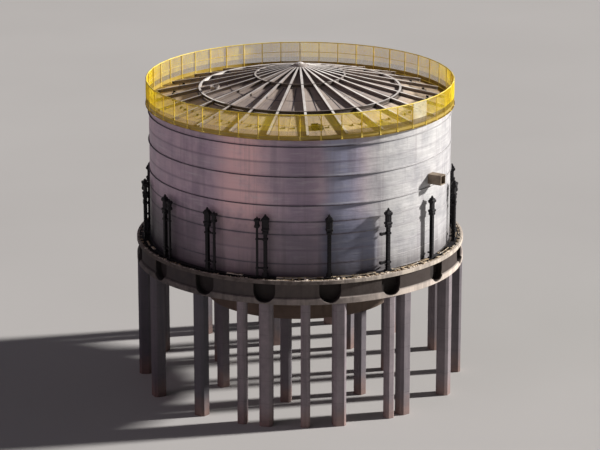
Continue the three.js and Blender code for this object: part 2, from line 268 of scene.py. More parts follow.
class Finish:
    """One material's node tree, with short calls for the nodes used here. Positions are in metres."""

    def __init__(self, name, metallic=0):
        self.material = bpy.data.materials.new(name)
        self.material.use_nodes = True
        self.tree = self.material.node_tree
        self.surface = self.tree.nodes["Principled BSDF"]
        self.surface.inputs["Metallic"].default_value = metallic
        self.place = self.node("TexCoord").outputs["Object"]
        self.x, self.y, self.z = self.node("SeparateXYZ", Vector=self.place).outputs
        self.colour = None

    def node(self, kind, **inputs):
        made = self.tree.nodes.new("ShaderNode" + kind)
        for name, value in inputs.items():
            self.feed(made.inputs[name], value)
        return made

    def feed(self, socket, value):
        if isinstance(value, bpy.types.NodeSocket):
            self.tree.links.new(value, socket)
        elif value is not None:
            socket.default_value = (*value, 1) if socket.type == "RGBA" else value

    def math(self, operation, a, b=None):
        made = self.node("Math")
        made.operation = operation
        self.feed(made.inputs[0], a)
        self.feed(made.inputs[1], b)
        return made.outputs[0]

    def add(self, a, b):
        return self.math("ADD", a, b)

    def take(self, a, b):
        return self.math("SUBTRACT", a, b)

    def times(self, product, *others):
        """Product of all the values."""
        for other in others:
            product = self.math("MULTIPLY", product, other)
        return product

    def blend(self, a, b, share):
        """A weighted sum of two values, the share being that of the first."""
        return self.add(self.times(a, share), self.times(b, 1 - share))

    def join(self, x, y, z):
        return self.node("CombineXYZ", X=x, Y=y, Z=z).outputs[0]

    def stretched(self, x, y, z):
        return self.node("Mapping", Vector=self.place, Scale=(x, y, z)).outputs[0]

    def noise(self, scale, detail=4, rough=0.6, where=None):
        where = where or self.place
        return self.node("TexNoise", Vector=where, Scale=scale, Detail=detail, Roughness=rough).outputs["Fac"]

    def spots(self, scale):
        return self.node("TexVoronoi", Vector=self.place, Scale=scale).outputs["Distance"]

    def tone(self):
        made = self.node("Attribute")
        made.attribute_name = "tone"
        return made.outputs["Fac"]

    def spread(self, value, low, high, out_low, out_high):
        made = self.node("MapRange")
        made.interpolation_type = "SMOOTHSTEP"
        for socket, number in zip(made.inputs, (value, low, high, out_low, out_high)):
            self.feed(socket, number)
        return made.outputs[0]

    def rise(self, value, low, high, most=1):
        """0 up to the low value, the most from the high one on."""
        return self.spread(value, low, high, 0, most)

    def fade(self, value, low, high, most=1):
        """The most up to the low value, 0 from the high one on."""
        return self.spread(value, low, high, most, 0)

    def band(self, value, start, full, wane, end):
        """1 from full to wane, 0 before start and after end."""
        return self.times(self.rise(value, start, full), self.fade(value, wane, end))

    def ramp(self, value, *stops):
        made = self.node("ValToRGB", Fac=value)
        elements = made.color_ramp.elements
        while len(elements) < len(stops):
            elements.new(1)
        for element, (position, colour) in zip(elements, stops):
            element.position = position
            element.color = (*colour, 1)
        return made.outputs[0]

    def base(self, value, *stops):
        """Lays the first colour, a ramp over the value."""
        self.colour = self.ramp(value, *stops)

    def coat(self, *shares_and_tint):
        """Lays the last value over what is there, as strongly as the product of the others says."""
        *shares, tint = shares_and_tint
        self.colour = self.mix(self.times(*shares), self.colour, tint)

    def mix(self, factor, a, b):
        made = self.node("Mix", Factor=factor)
        made.data_type = "RGBA"
        self.feed(made.inputs[6], a)
        self.feed(made.inputs[7], b)
        return made.outputs[2]

    def coat_by_tone(self, low, high, share, tint):
        """Tints the faces whose tone lies above the low value."""
        self.coat(self.rise(self.tone(), low, high, share), tint)

    def radius(self):
        return self.math("SQRT", self.add(self.math("POWER", self.x, 2), self.math("POWER", self.y, 2)))

    def angle(self):
        """Turns round the tank, in degrees."""
        return self.times(self.math("ARCTAN2", self.x, self.times(self.y, -1)), degrees(1))

    def uneven_angle(self, pattern, reach):
        """Angle whose borders wander with the pattern, by up to reach degrees."""
        return self.add(self.angle(), self.times(pattern, reach))

    def sunlit_side(self, turns, start, full):
        """1 on the right and the back, the side painted as sunlit."""
        return self.math("MAXIMUM", self.rise(turns, start, full), self.fade(turns, -165, -120))

    def line(self, value, pitch, width, shift=0):
        """1 on lines that come once every pitch, 0 between them."""
        moved = self.add(value, 1000 * pitch - shift)
        return self.fade(self.math("PINGPONG", moved, pitch / 2), 0, width / 2)

    def bump(self, *layers):
        """Raises the surface by each (height map, metres)."""
        before = None
        for height, distance in layers:
            made = self.node("Bump", Strength=1, Distance=distance, Height=height, Normal=before)
            before = made.outputs[0]
        self.feed(self.surface.inputs["Normal"], before)

    def done(self, roughness):
        self.feed(self.surface.inputs["Base Color"], self.colour)
        self.feed(self.surface.inputs["Roughness"], roughness)
        return self.material


def toned(colour, factor):
    return tuple(min(1, part * factor) for part in colour)


# Materials of the table
def concrete(name, dark, light, soil=0, panels=0, ring=False, painted_shade=False):
    f = Finish(name)
    broad = f.noise(0.42)
    mottled = f.noise(2.6, 5, 0.62)
    grain = f.noise(55, 3, 0.6)
    runs = f.noise(1, where=f.stretched(2.4, 2.4, 0.16))
    f.base(f.blend(broad, mottled, 0.55), (0.32, dark), (0.68, light))
    f.coat(f.rise(runs, 0.5, 0.72, 0.55), toned(dark, 0.5))
    f.coat(f.rise(grain, 0.35, 0.75, 0.22), toned(light, 1.5))
    layers = [(grain, 0.003), (mottled, 0.012)]
    # Painted shade: each face darker and bluer by its tone
    if painted_shade:
        f.coat_by_tone(0, 1, 0.78, (0.058, 0.06, 0.074))
    if panels:
        joint = f.line(f.z, panels, 0.03)
        f.coat(joint, 0.5, toned(dark, 0.45))
        layers.append((f.times(joint, -1), 0.006))
    if ring:
        joint = f.line(f.angle(), BAY_TURN, 0.16, 3)
        f.coat(joint, 0.45, toned(dark, 0.4))
        ring_face(f, mottled, runs)
        ring_lip(f, mottled, runs)
    if soil:
        splash = f.fade(f.take(f.z, f.times(mottled, 1.6)), -0.9, 0.6, soil)
        f.coat(splash, (0.34, 0.15, 0.07))
    f.bump(*layers)
    return f.done(f.spread(mottled, 0.3, 0.7, 0.82, 0.97))


def ring_face(f, mottled, runs):
    """Painted shade in the set-back face, the niches and the left side, with a painted sunlit lower edge at
    the right.
    """
    reach = f.radius()
    turns = f.uneven_angle(mottled, 20)
    below = f.fade(f.z, FACE_TOP - 0.02, FACE_TOP + 0.01)
    # Painted sunlight: a pale lower edge of the face on the right
    edge = f.fade(f.z, FACE_BOTTOM - 0.1, FACE_BOTTOM - 0.02)
    washes_and_painted_sunlight = f.times(f.band(turns, 22, 48, 110, 150), f.spread(runs, 0.35, 0.6, 0.85, 0.4))
    f.coat(edge, washes_and_painted_sunlight, (0.72, 0.62, 0.54))
    # Painted shade in the set-back face under the lip, darkest on the right
    set_back = f.times(f.fade(reach, FACE_RADIUS + 0.01, TABLE_RADIUS - 0.03), below)
    f.coat(set_back, f.spread(turns, 16, 40, 0.74, 0.96), (0.032, 0.021, 0.017))
    # Painted shade on the left side
    painted_left_shade = f.times(f.fade(turns, -36, 36), f.rise(turns, -160, -120))
    f.coat(painted_left_shade, f.spread(mottled, 0.3, 0.65, 0.85, 0.65), (0.026, 0.023, 0.025))
    # Painted shade in the niches
    niches = f.times(f.fade(reach, FACE_RADIUS - 0.12, FACE_RADIUS - 0.01), below)
    f.coat(niches, 0.8, (0.012, 0.009, 0.008))


def ring_lip(f, mottled, runs):
    """Lip with painted shade on its face, painted sunlight on the right, and dry dust on its top."""
    turns = f.uneven_angle(mottled, 20)
    rim = f.rise(f.z, FACE_TOP - 0.01, FACE_TOP + 0.01)
    sunny = f.band(turns, 12, 36, 110, 150)
    # Painted shade on the lip's face, lighter where the sun falls
    painted_lip_shade = f.times(f.spread(mottled, 0.35, 0.6, 0.75, 0.45), f.spread(sunny, 0, 1, 1, 0.35))
    f.coat(rim, painted_lip_shade, (0.05, 0.037, 0.03))
    # Painted sunlight on the lip at the right
    washes_and_painted_sunlight = f.times(rim, sunny, f.spread(runs, 0.4, 0.6, 0.8, 0.3))
    f.coat(washes_and_painted_sunlight, (0.66, 0.58, 0.48))
    dust = f.spread(f.noise(4, 4, 0.65), 0.4, 0.6, 0.25, 0.85)
    top = f.rise(f.z, LIP_TOP - 0.018, LIP_TOP - 0.002)
    f.coat(top, dust, (0.55, 0.47, 0.4))


# Materials of the shell
def bare_steel():
    f = Finish("bare_shell_plate", 0.15)
    broad = f.noise(0.23, 3, 0.55)
    cloud = f.noise(1.1)
    fine = f.noise(38, 3, 0.6)
    runs = f.noise(1, 5, 0.62, f.stretched(3.2, 3.2, 0.13))
    wide_runs = f.noise(1, where=f.stretched(0.95, 0.95, 0.07))
    scour = f.noise(1, 3, 0.6, f.stretched(0.6, 0.6, 6))
    turns = f.uneven_angle(broad, 8)
    # Painted reflection: a violet-grey tint on the shade side; plain pale steel on the sunlit side
    sunlit = f.sunlit_side(turns, 20, 36)
    pale = f.ramp(cloud, (0.34, (0.44, 0.44, 0.45)), (0.62, (0.58, 0.575, 0.57)))
    painted_reflection_violet = f.ramp(cloud, (0.34, (0.4, 0.3, 0.38)), (0.62, (0.55, 0.42, 0.49)))
    f.colour = f.mix(sunlit, painted_reflection_violet, pale)
    painted_light_zones(f, turns, cloud)
    f.coat_by_tone(0, 1, 0.14, (0.3, 0.28, 0.33))
    f.coat(f.rise(runs, 0.5, 0.76, 0.4), (0.22, 0.18, 0.21))
    f.coat(f.rise(wide_runs, 0.52, 0.66, 0.4), (0.22, 0.19, 0.23))
    f.coat(f.rise(scour, 0.5, 0.8, 0.3), (0.72, 0.7, 0.71))
    # Painted shade on the lower courses, strongest on the shade side
    painted_low_shade = f.fade(f.add(f.z, f.times(cloud, 1.2)), 10.2, 12)
    f.coat(painted_low_shade, f.spread(sunlit, 0, 1, 0.55, 0.12), (0.075, 0.07, 0.085))
    seam_marks_and_painted_light(f, sunlit)
    painted_hoop_shadows_and_highlights(f, turns)
    shell_foot(f, turns, cloud, runs)
    f.coat(f.rise(f.noise(6, 5, 0.7), 0.64, 0.78, 0.4), (0.33, 0.2, 0.16))
    f.bump((cloud, 0.02), (scour, 0.03), (runs, 0.006), (fine, 0.0012))
    rough = f.add(f.spread(cloud, 0.3, 0.7, 0.42, 0.58), f.spread(fine, 0.3, 0.7, 0, 0.1))
    return f.done(rough)


def painted_light_zones(f, turns, cloud):
    """From left to right: a painted reddish reflection, painted violet shade in the middle, and painted
    blue-grey shade that is darker low down.
    """
    painted_reddish_reflection = f.times(f.band(turns, -32, -22, -16, -4), f.spread(f.z, 8.6, 12, 0.3, 1))
    f.coat(painted_reddish_reflection, f.spread(cloud, 0.3, 0.55, 0.6, 1), (0.92, 0.6, 0.6))
    f.coat(f.band(turns, -6, 2, 6, 12), 0.6, (0.24, 0.19, 0.27))
    f.coat(f.band(turns, 10, 16, 20, 30), 0.8, (0.37, 0.41, 0.57))
    low = f.fade(f.add(f.z, cloud), 10.2, 12, 0.85)
    f.coat(f.band(turns, 8, 15, 30, 35), low, (0.22, 0.25, 0.37))


def seam_marks_and_painted_light(f, sunlit):
    for seams, strength in ((STRONG_SEAMS, 0.62), (WEAK_SEAMS, 0.45)):
        for seam in seams:
            near = f.fade(f.math("ABSOLUTE", f.take(f.z, seam)), 0, 0.1, strength)
            # Weld marks, painted fainter on the sunlit side
            f.coat(near, f.spread(sunlit, 0, 1, 1, 0.35), (0.13, 0.1, 0.14))


def painted_hoop_shadows_and_highlights(f, turns):
    """A painted shadow under each hoop and a painted highlight above it, on the side towards the sun."""
    for hoop in HOOPS:
        below = f.take(hoop, f.z)
        edge = f.fade(f.add(below, f.times(turns, 0.007)), 0.3, 0.42)
        painted_hoop_shadow = f.times(edge, f.rise(below, 0, 0.03), f.band(turns, 9, 19, 33, 50))
        f.coat(painted_hoop_shadow, 0.62, (0.11, 0.115, 0.16))
        # Painted highlight above the hoop
        above = f.times(f.band(below, -0.17, -0.06, -0.06, 0), f.band(turns, 8, 14, 20, 34))
        f.coat(above, 0.6, (0.86, 0.87, 0.93))


def shell_foot(f, turns, cloud, runs):
    """Grime all along the foot, and painted shade low on the left."""
    grime = f.fade(f.take(f.z, f.times(runs, 1.5)), 6.9, 8.3, 0.6)
    f.coat(grime, (0.1, 0.085, 0.09))
    left = f.times(f.fade(turns, -72, -24), f.rise(turns, -150, -120))
    painted_left_shade = f.times(left, f.fade(f.add(f.z, f.times(cloud, 1.4)), 8.8, 12.4, 0.9))
    f.coat(painted_left_shade, (0.022, 0.022, 0.028))


def seam_steel():
    f = Finish("weld_tint_and_painted_light", 0.2)
    patches = f.noise(2.2)
    ripple = f.noise(90, 2, 0.5)
    # Painted light: the seams stay dark on the shade side and turn pale on the sunlit side
    sunlit = f.sunlit_side(f.uneven_angle(patches, 10), 22, 42)
    f.base(patches, (0.3, (0.045, 0.04, 0.055)), (0.55, (0.09, 0.08, 0.1)), (0.75, (0.2, 0.18, 0.2)))
    f.coat(sunlit, f.spread(patches, 0.35, 0.65, 0.9, 0.65), (0.56, 0.55, 0.55))
    f.bump((ripple, 0.002))
    return f.done(f.spread(patches, 0.3, 0.7, 0.42, 0.66))


# Materials of the roof, the rail and the lifting gear
def roof_dust():
    f = Finish("dusty_roof_plate", 0.12)
    reach = f.radius()
    washes_and_painted_sunlight = f.noise(1, 4, 0.62, f.join(f.times(f.angle(), 0.55), f.times(reach, 0.55), 0))
    broad = f.noise(0.5)
    patch = f.noise(2.4, 5, 0.65)
    grain = f.noise(45, 3, 0.6)
    f.base(f.blend(broad, patch, 0.5),
           (0.34, (0.5, 0.4, 0.34)), (0.52, (0.68, 0.57, 0.47)), (0.66, (0.8, 0.69, 0.55)))
    # Painted light: a golden tint on the plates outside the large ring, for sunlight through the yellow net
    f.coat(f.rise(reach, 5.2, 6, 0.62), (0.87, 0.66, 0.39))
    f.coat(f.fade(reach, 4.9, 5.3, 0.4), (0.24, 0.2, 0.2))
    f.coat(f.rise(washes_and_painted_sunlight, 0.48, 0.7, 0.5), (0.25, 0.21, 0.22))
    f.coat_by_tone(0, 1, 0.3, (0.3, 0.26, 0.27))
    f.coat(f.fade(f.spots(1.5), 0.035, 0.075, 0.9), (0.05, 0.04, 0.04))
    f.coat(f.fade(f.spots(5), 0.05, 0.12, 0.6), (0.14, 0.1, 0.09))
    # Painted shade between the rafters near the hub
    f.coat(f.fade(reach, 1.1, 3, 0.62), (0.13, 0.105, 0.105))
    # Painted shadow of the large ring bar on the plates outside it
    painted_ring_shadow = f.band(reach, 5.17, 5.19, 5.26, 5.36)
    f.coat(painted_ring_shadow, 0.85, (0.06, 0.045, 0.035))
    f.coat(f.rise(reach, 6.9, ROOF_RADIUS, 0.3), (0.42, 0.3, 0.1))
    f.bump((patch, 0.01), (grain, 0.002))
    return f.done(f.spread(patch, 0.3, 0.7, 0.68, 0.92))


def pale_primer():
    f = Finish("pale_primer")
    broad = f.noise(1.3)
    chips = f.noise(9, 5, 0.7)
    grain = f.noise(70, 2, 0.5)
    f.base(broad, (0.32, (0.66, 0.6, 0.56)), (0.55, (0.8, 0.76, 0.72)), (0.7, (0.89, 0.87, 0.84)))
    # Faces with a higher tone turn brown and the highest near black; on the rafters and ring bars this is
    # painted shade
    f.coat_by_tone(0.5, 1, 0.86, (0.15, 0.105, 0.085))
    f.coat_by_tone(1, 1.4, 0.9, (0.035, 0.026, 0.02))
    f.coat(f.rise(chips, 0.6, 0.72, 0.75), (0.33, 0.2, 0.14))
    f.bump((chips, 0.0015), (grain, 0.0006))
    return f.done(f.spread(broad, 0.3, 0.7, 0.48, 0.72))


def rusty_box():
    f = Finish("rusty_box")
    broad = f.noise(2.1)
    chips = f.noise(12, 5, 0.7)
    f.base(broad, (0.34, (0.16, 0.12, 0.085)), (0.6, (0.3, 0.24, 0.18)))
    f.coat(f.rise(chips, 0.55, 0.72, 0.6), (0.09, 0.055, 0.04))
    f.bump((chips, 0.002))
    return f.done(f.spread(broad, 0.3, 0.7, 0.7, 0.9))


def yellow_paint(name, deep, bright, wear):
    f = Finish(name)
    broad = f.noise(1.7)
    chips = f.noise(11, 5, 0.7)
    f.base(broad, (0.34, deep), (0.62, bright))
    # Faces with a high tone turn dark olive; on the toe board and the foot of the net this is painted shade
    f.coat_by_tone(0.5, 1, 0.7, (0.21, 0.115, 0.008))
    f.coat(f.rise(chips, 0.58, 0.72, wear), (0.2, 0.13, 0.05))
    f.bump((chips, 0.0012))
    return f.done(f.spread(broad, 0.3, 0.7, 0.38, 0.6))


def black_gear():
    f = Finish("greasy_black_paint")
    f.surface.inputs["Specular IOR Level"].default_value = 0.25
    broad = f.noise(1.5)
    chips = f.noise(14, 5, 0.7)
    f.base(broad, (0.34, (0.006, 0.006, 0.008)), (0.66, (0.018, 0.017, 0.02)))
    f.coat(f.rise(chips, 0.56, 0.74, 0.5), (0.13, 0.085, 0.055))
    f.bump((chips, 0.0015))
    return f.done(f.spread(broad, 0.3, 0.7, 0.4, 0.75))


def crumbs_finish():
    f = Finish("mortar_and_offcuts")
    patch = f.noise(1.9, 3, 0.6)
    grain = f.noise(50, 3, 0.6)
    f.base(f.blend(patch, f.tone(), 0.4),
           (0.3, (0.2, 0.14, 0.09)), (0.5, (0.46, 0.35, 0.22)), (0.72, (0.8, 0.74, 0.66)))
    f.bump((grain, 0.003))
    return f.done(f.spread(patch, 0.3, 0.7, 0.75, 0.95))


COLUMN_CONCRETE = concrete("column_concrete", (0.15, 0.13, 0.14), (0.29, 0.245, 0.26),
                           soil=0.3, panels=1.22, painted_shade=True)
RING_CONCRETE = concrete("ring_concrete", (0.19, 0.165, 0.15), (0.36, 0.31, 0.28), ring=True)
# A darker, browner copy of the concrete for the beam under the table, as painted shade and painted reflected
# soil light
BEAM_CONCRETE = concrete("beam_concrete", (0.09, 0.062, 0.047), (0.17, 0.12, 0.092), panels=0.52)
SLAB_CONCRETE = concrete("slab_concrete", (0.2, 0.17, 0.16), (0.36, 0.32, 0.29))
STEEL = bare_steel()
SEAM = seam_steel()
ROOF = roof_dust()
PRIMER = pale_primer()
RUST = rusty_box()
RAIL_YELLOW = yellow_paint("rail_yellow", (0.74, 0.55, 0.05), (0.92, 0.76, 0.2), 0.25)
# A denser, paler bay of net; its pale colour is partly a painted glare of the sun
NET_PALE = yellow_paint("pale_net_with_painted_glare", (0.9, 0.79, 0.47), (0.97, 0.91, 0.68), 0.1)
NET_YELLOW = yellow_paint("net_yellow", (0.84, 0.58, 0.003), (0.98, 0.76, 0.006), 0.12)
CURB_YELLOW = yellow_paint("curb_yellow", (0.13, 0.075, 0.006), (0.3, 0.19, 0.012), 0.6)
BLACK = black_gear()
CRUMBS = crumbs_finish()

for node, finish in (("table_slab", SLAB_CONCRETE), ("tank_floor", SEAM), ("top_curb", CURB_YELLOW)):
    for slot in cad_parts[node].material_slots:
        slot.material = finish


# Columns and props with cut corners, a groove at the kicker and slightly uneven faces
def column(name, node, angle, seed, shade, radius, side, cut, top):
    random.seed(seed)
    body = Body()
    where = station(angle, radius)
    groove, kicker_top, lifts = 0.285, 0.3, 14
    levels = [0, 0.03, 0.28, groove, kicker_top]
    levels += [kicker_top + (top - 0.33) * k / lifts for k in range(1, lifts)]
    levels += [top - 0.012, top]
    loops = []
    for level in levels:
        half = side / 2 - (0.012 if level in (groove, top) else 0.003)
        shift_x, shift_y = random.uniform(-0.003, 0.003), random.uniform(-0.003, 0.003)
        outline = octagon(half, cut, 0.006)
        loops.append([where @ Vector((x + shift_x, y + shift_y, level)) for x, y in outline])
    # The tone says how much painted shade the column gets
    body.loft(loops, tone=shade)
    show(name, body, COLUMN_CONCRETE, (node,), crease=12)


# How much painted shade each outer column gets
SHADES = (0.7, 0.95, 0.1, 0.2, 0.5, 0.35, 0.6, 0.4, 0.7, 0.5, 0.8, 0.6, 0.7, 0.9)
for index, shade in enumerate(SHADES):
    number = f"{index + 1:02d}"
    angle = OUTER_COLUMN_START + 360 / OUTER_COLUMNS * index
    column(f"outer_shaft_{number}", f"outer_column_{number}", angle, 100 + index, shade, **OUTER_COLUMN)
for index in range(INNER_COLUMNS):
    angle = INNER_COLUMN_START + 360 / INNER_COLUMNS * index
    column(f"inner_shaft_{index + 1}", f"inner_column_{index + 1}", angle, 200 + index, 0.6, **INNER_COLUMN)
for index, angle in enumerate(PROP_ANGLES):
    column(f"prop_shaft_{index + 1}", f"prop_{index + 1}", angle, 300 + index, 0.15, **PROP)


def inner_beam():
    body = Body()
    cut = 0.02
    top = TABLE_TOP - SLAB_DEPTH - 0.001
    body.ring([(BEAM_INNER + cut, BEAM_BOTTOM), (BEAM_OUTER - cut, BEAM_BOTTOM),
               (BEAM_OUTER, BEAM_BOTTOM + cut), (BEAM_OUTER, top),
               (BEAM_INNER, top), (BEAM_INNER, BEAM_BOTTOM + cut)], 180)
    return body


show("inner_beam", inner_beam(), BEAM_CONCRETE, ("inner_ring_beam",))


# Ring of the table, with its niches cut out
def whole_ring():
    body = Body()
    lip = TABLE_RADIUS - LIP_WIDTH
    edge = 0.015
    body.ring([(RING_INNER, RING_BOTTOM), (TABLE_RADIUS - edge, RING_BOTTOM),
               (TABLE_RADIUS, RING_BOTTOM + edge), (TABLE_RADIUS, FACE_BOTTOM - 0.06),
               (FACE_RADIUS, FACE_BOTTOM), (FACE_RADIUS, FACE_TOP), (TABLE_RADIUS, FACE_TOP),
               (TABLE_RADIUS, LIP_TOP - edge), (TABLE_RADIUS - edge, LIP_TOP), (lip + edge, LIP_TOP),
               (lip, LIP_TOP - edge), (lip, TABLE_TOP), (RING_INNER, TABLE_TOP)], 288)
    return body


def niches():
    body = Body()
    half = NICHE_WIDTH / 2
    steps = 20
    outline = [(half, FACE_TOP), (-half, FACE_TOP)]
    for k in range(steps + 1):
        turn = pi * k / steps
        outline.append((-half * cos(turn), NICHE_CENTRE - half * sin(turn)))
    for k in range(JACKS):
        where = station(JACK_START + JACK_TURN * k)
        reaches = (TABLE_RADIUS - NICHE_DEPTH, TABLE_RADIUS + NICHE_DEPTH)
        body.loft([[where @ Vector((x, -reach, z)) for x, z in outline] for reach in reaches])
    return body


def ring_mesh():
    ring = add_object("ring_work", closed_mesh("ring_work", whole_ring()))
    cutters = add_object("ring_cutters", closed_mesh("ring_cutters", niches()))
    cut = ring.modifiers.new("niches", "BOOLEAN")
    cut.object = cutters
    cut.operation = "DIFFERENCE"
    cut.solver = "EXACT"
    result = bpy.data.meshes.new_from_object(ring.evaluated_get(bpy.context.evaluated_depsgraph_get()))
    for work_object in (ring, cutters):
        bpy.data.objects.remove(work_object)
    face_outwards(result)
    return result


show("table_ring", ring_mesh(), RING_CONCRETE, ("edge_ring_beam",), crease=28)


# Shell plates, slightly uneven, with a tone of their own
def shell_radius(angle, height):
    spot = polar(angle, 4.5, height * 0.9)
    return TANK_RADIUS + 0.004 * noise.noise(spot * 0.5) + 0.002 * noise.noise(spot * 1.7)


LEVELS = sorted((SHELL_BOTTOM, SHELL_TOP, *HOOPS, *STRONG_SEAMS, *WEAK_SEAMS))
COURSES = list(zip(LEVELS, LEVELS[1:]))
random.seed(7)
STAGGER = [random.uniform(0, PLATE_TURN) for _ in LEVELS]
PLATE_TONES = [[random.random() for _ in range(PLATES_ROUND)] for _ in LEVELS]


def shell():
    body = Body()
    parts = 3
    heights = [low + (high - low) * part / parts for low, high in COURSES for part in range(parts)]
    heights.append(SHELL_TOP)
    loops = []
    for angle in range(360):
        outside = [polar(angle, shell_radius(angle, height), height) for height in heights]
        inside = [polar(angle, TANK_RADIUS - PLATE, height) for height in (SHELL_TOP, SHELL_BOTTOM)]
        loops.append(outside + inside)

    def tone(angle, k):
        course = k // parts
        if course >= len(COURSES):
            return 0.5
        return PLATE_TONES[course][int((angle + STAGGER[course]) % 360 // PLATE_TURN)]

    body.loft(loops, ring=True, tone=tone)
    return body


show("shell_plates", shell(), STEEL, ("tank_shell",))


def level_seams(body, heights, half, rise):
    for height in heights:
        loops = []
        for angle in range(360):
            base = shell_radius(angle, height)
            section = ((base - 0.004, -half), (base + rise / 2, -half), (base + rise, 0),
                       (base + rise / 2, half), (base - 0.004, half))
            loops.append([polar(angle, radius, height + lift) for radius, lift in section])
        body.loft(loops, ring=True, tone=1)


def upright_seams(body):
    section = ((-0.08, -0.004), (-0.05, 0.001), (0, 0.003), (0.05, 0.001), (0.08, -0.004))
    margin, parts = 0.03, 4
    for (low, high), stagger in zip(COURSES, STAGGER):
        for plate in range(PLATES_ROUND):
            angle = plate * PLATE_TURN - stagger
            loops = []
            for part in range(parts + 1):
                height = low + margin + (high - low - 2 * margin) * part / parts
                base = shell_radius(angle, height)
                loops.append([polar(angle + turn, base + rise, height) for turn, rise in section])
            body.loft(loops, tone=0.9)


strong = Body()
level_seams(strong, STRONG_SEAMS, 0.024, 0.007)
show("strong_seams", strong, SEAM)

faint = Body()
level_seams(faint, WEAK_SEAMS, 0.014, 0.004)
upright_seams(faint)
show("faint_seams", faint, STEEL)


def stiffening_hoops():
    body = Body()
    inner, outer = TANK_RADIUS - 0.008, TANK_RADIUS + HOOP_REACH
    for height in HOOPS:
        low, high = height - 0.018, height + 0.018
        under = high - 0.012
        body.ring([(inner, under), (outer - 0.01, under), (outer - 0.01, low), (outer, low), (outer, high),
                   (inner, high)], 240)
        for k in range(RAIL_POSTS):
            clip = station(BAY_TURN * k + 1.2, TANK_RADIUS + 0.022, height - 0.003)
            body.block(clip, (0.012, 0.06, 0.028), chamfer=0.002)
    return body


show("stiffening_hoops", stiffening_hoops(), SEAM)


# Roof plates between the rafters, a little sagged
def roof_plates():
    body = Body()
    per_bay, thickness = 12, 0.03
    steps = RAFTERS * per_bay
    reaches = (0.3, 0.9, 1.6, SMALL_RING, 3, 3.75, 4.5, LARGE_RING, 5.8, 6.4, 7, 7.3, 7.58, ROOF_RADIUS)
    loops = []
    for k in range(steps):
        angle = RAFTER_START + 360 * k / steps
        across = sin(pi * (k % per_bay) / per_bay) ** 2
        loop = []
        for reach in reaches:
            dents = 0.003 * abs(noise.noise(polar(angle, reach) * 1.2))
            sag = 0.012 * across * sin(pi * reach / ROOF_RADIUS)
            loop.append(on_roof(angle, reach, -sag - dents))
        loop += [on_roof(angle, reach, -thickness) for reach in (reaches[-1], reaches[0])]
        loops.append(loop)
    random.seed(11)
    tones = [[random.random() for _ in range(4)] for _ in range(RAFTERS * 2)]

    def tone(row, k):
        """Three plates from the hub to the eave in each half bay."""
        zone = 0 if k < 5 else 1 if k < 7 else 2
        return tones[row // (per_bay // 2)][zone]

    body.loft(loops, ring=True, tone=tone)
    return body


show("roof_plates", roof_plates(), ROOF, ("roof_plate",))


def roof_seams(inner, outer, across):
    """One seam up the middle of each bay, from inner to outer, and one ring round at the radius across."""
    body = Body()
    buried = 0.016
    for bay in range(RAFTERS):
        angle = RAFTER_START + RAFTER_TURN * (bay + 0.5)
        ends = [on_roof(angle, reach, -buried) for reach in (inner, outer)]
        body.bar(*ends, rectangle(0.034, 0, 0.018))
    low, high = roof_top(across) - buried, roof_top(across) + 0.003
    near, far = across - 0.016, across + 0.016
    body.ring([(near, low), (far, low), (far, high - 0.004), (near, high)], 192, tone=1)
    return body


show("roof_seams", roof_seams(2.4, 5.1, 3.75), SEAM)
show("roof_lap_strips", roof_seams(5.24, 7.56, 6.4), ROOF)


# Rafters, ring bars and hub on top of the roof
def rafters(body):
    section = beam_section(0.125, RAFTER_DEPTH, 0.014, 0.01)
    top_faces = (4, 5, 6)
    foot_reach = 7.49
    foot = roof_top(7.5)
    for k in range(RAFTERS):
        angle = RAFTER_START + RAFTER_TURN * k
        start, end = [on_roof(angle, reach, 0.0006) for reach in (0.41, RAFTER_END)]
        # Painted shade: webs and flange edges take a darker tone than the top faces
        body.bar(start, end, section, ((0, 0.6), (0.13, 1), (1, 1)),
                 tone=lambda row, side: 0.5 if side in top_faces else 0.95)
        where = station(angle)
        # Stiffeners and foot plates take the darker tone too, as painted shade
        for reach in (2.2, 2.42, 3.7, 5.06, 5.29, 6.4, 7.5):
            middle = roof_top(reach) + RAFTER_DEPTH / 2
            body.block(where, (0.115, 0.01, RAFTER_DEPTH - 0.03), (0, -reach, middle), 0.001, 0.95)
        body.block(where, (0.2, 0.16, 0.014), (0, -foot_reach, foot + 0.01), 0.003, 0.9)
        for side in (-0.075, 0.075):
            body.tube(where, (side, -foot_reach, foot + 0.012), (side, -foot_reach, foot + 0.042), 0.016, 6)


def ring_bar(body, reach, half, outer_tone, inner_tone, top_tone):
    """T-shaped bar round the roof, its outer face painted dark as shade and its top painted darker in front
    as shade.
    """
    low = roof_top(reach) + 0.012
    high = low + RAFTER_DEPTH
    under, web = high - 0.012, 0.01
    steps = 144
    tones = [top_tone] + [outer_tone] * 4 + [inner_tone] * 3

    def tone(row, k):
        turned = (RAFTER_START + 360 / steps * row + 180) % 360 - 180
        # Painted shade: the top is darker in front
        return tones[k] + (0.5 if k == 0 and -48 < turned < 36 else 0)

    body.ring([(reach - half, high), (reach + half, high), (reach + half, under), (reach + web, under),
               (reach + web, low), (reach - web, low), (reach - web, under), (reach - half, under)],
              steps, RAFTER_START, tone)


def hub(body):
    low, high = roof_top(HUB_RADIUS) - 0.02, roof_top(HUB_RADIUS) + RAFTER_DEPTH - 0.01
    top = HUB_TOP - 0.002
    body.ring([(0.02, low), (HUB_RADIUS, low), (HUB_RADIUS, high - 0.012), (HUB_RADIUS - 0.008, high),
               (0.25, top), (0.02, top)], 48, tone=0.86)


beams = Body()
rafters(beams)
# Outer faces near black as painted shade; inner faces and tops pale
ring_bar(beams, LARGE_RING, 0.055, 1.4, 0.5, 0.58)
ring_bar(beams, SMALL_RING, 0.045, 1.3, 0.72, 0.75)
hub(beams)
show("roof_beams", beams, PRIMER, ("roof_frame",), crease=30)


